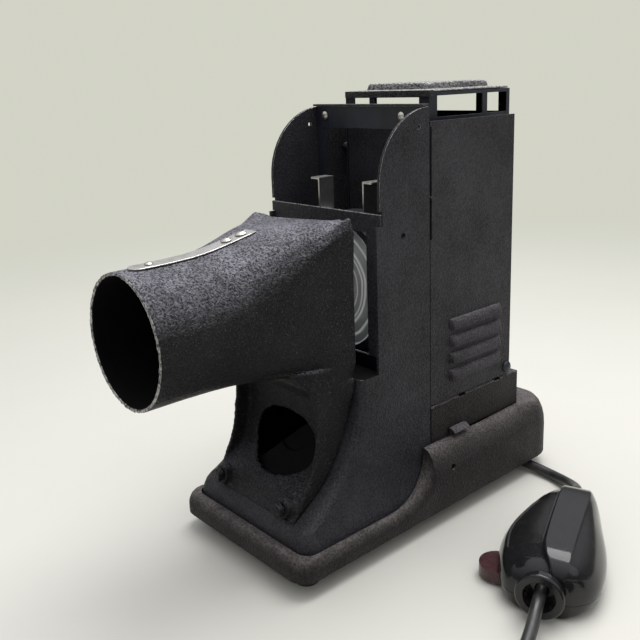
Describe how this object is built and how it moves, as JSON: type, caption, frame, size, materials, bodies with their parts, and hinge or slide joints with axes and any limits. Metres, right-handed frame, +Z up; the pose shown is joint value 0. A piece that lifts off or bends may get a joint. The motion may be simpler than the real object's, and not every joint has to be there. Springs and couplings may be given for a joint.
{
  "type": "slide projector",
  "caption": "Black lantern-slide projector with a flared cast nose, open slide slot, lift-out condenser, louvred lift-off lamp house and a switch on its cord.",
  "frame": {"origin": "on the table, under the middle of the projector's box without its cord", "axes": "-Y is the way the projector points, +X its side with the cord, +Z up"},
  "size_m": [0.4298, 0.38, 0.3415],
  "materials": {
    "crinkle_black": "crinkle-finish black enamel on sheet steel, dusty on top, worn bright along the edges",
    "cast_black": "crinkle-finish black enamel on an aluminium casting, greyer on top, bare at the barrel's rim",
    "smooth_black": "heat-dulled smooth black paint",
    "bright_steel": "plated steel screws, tarnished",
    "strip_metal": "bare strip metal, satin with handling marks",
    "clear_glass": "polished clear glass with a light film of dust",
    "silvered": "polished reflector",
    "brass": "tarnished brass",
    "porcelain": "glazed porcelain lamp holder",
    "foot_rubber": "matte black rubber",
    "cord_rubber": "satin black rubber jacket",
    "black_phenolic": "glossy black phenolic moulding, scuffed",
    "maroon_phenolic": "maroon phenolic moulding, worn"
  },
  "bodies": {
    "root": {"base_tray": "crinkle_black", "bottom_plate": "smooth_black", "foot_front_left": "foot_rubber", "foot_front_right": "foot_rubber", "foot_rear_left": "foot_rubber", "foot_rear_right": "foot_rubber", "front_housing": "crinkle_black", "aperture_plate": "crinkle_black", "bulkhead": "crinkle_black", "bulkhead_screw_left": "bright_steel", "bulkhead_screw_right": "bright_steel", "nose_casting": "cast_black", "nose_bolt_left": "smooth_black", "nose_bolt_right": "smooth_black", "spring_root": "strip_metal", "strip_screw_front": "bright_steel", "strip_screw_rear": "bright_steel", "lamp_pan": "crinkle_black", "socket_bracket": "smooth_black", "lamp_socket": "porcelain", "lamp_base": "brass", "lamp_bulb": "clear_glass", "mirror": "silvered", "mirror_post": "bright_steel", "cord_clamp": "smooth_black", "cord_lead": "cord_rubber", "switch_upper": "black_phenolic", "switch_lower": "black_phenolic", "switch_collar_front": "black_phenolic", "switch_collar_rear": "black_phenolic", "lever_pin": "bright_steel", "cord_run": "cord_rubber", "cord_coil": "cord_rubber", "coil_tie": "cord_rubber", "cord_tail": "cord_rubber", "plug_body": "black_phenolic", "plug_blade_left": "brass", "plug_blade_right": "brass"},
    "lamp_house": {"chimney_front": "smooth_black", "chimney_rear": "smooth_black", "chimney_left": "smooth_black", "chimney_right": "smooth_black", "roof": "crinkle_black", "jacket_left": "crinkle_black", "jacket_right": "crinkle_black", "jacket_screw_left": "smooth_black", "jacket_screw_right": "smooth_black"},
    "condenser": {"condenser_cell": "smooth_black", "condenser_retainer": "smooth_black", "lens_spacer": "smooth_black", "front_lens": "clear_glass", "rear_lens": "clear_glass", "pull_arm_left": "strip_metal", "pull_arm_right": "strip_metal"},
    "lens_spring": {"spring_blade": "strip_metal", "lock_pin": "bright_steel"},
    "lever": {"switch_lever": "maroon_phenolic"}
  },
  "joints": [
    {"name": "lamp_house_lift", "type": "slide", "parent": "root", "child": "lamp_house", "axis": [0, 0, 1], "range_m": [0, 0.235]},
    {"name": "condenser_lift", "type": "slide", "parent": "root", "child": "condenser", "axis": [0, 0, 1], "range_m": [0, 0.205]},
    {"name": "lens_spring_lift", "type": "hinge", "parent": "root", "child": "lens_spring", "pos_m": [0, -0.1125, 0.2405], "axis": [-1, 0, 0], "range_deg": [0, 6], "stiffness_Nm_per_rad": 2},
    {"name": "switch_lever_swing", "type": "hinge", "parent": "root", "child": "lever", "pos_m": [0.16552, 0.01573, 0.0068], "axis": [0, 0, -1], "range_deg": [0, 36]}
  ]
}
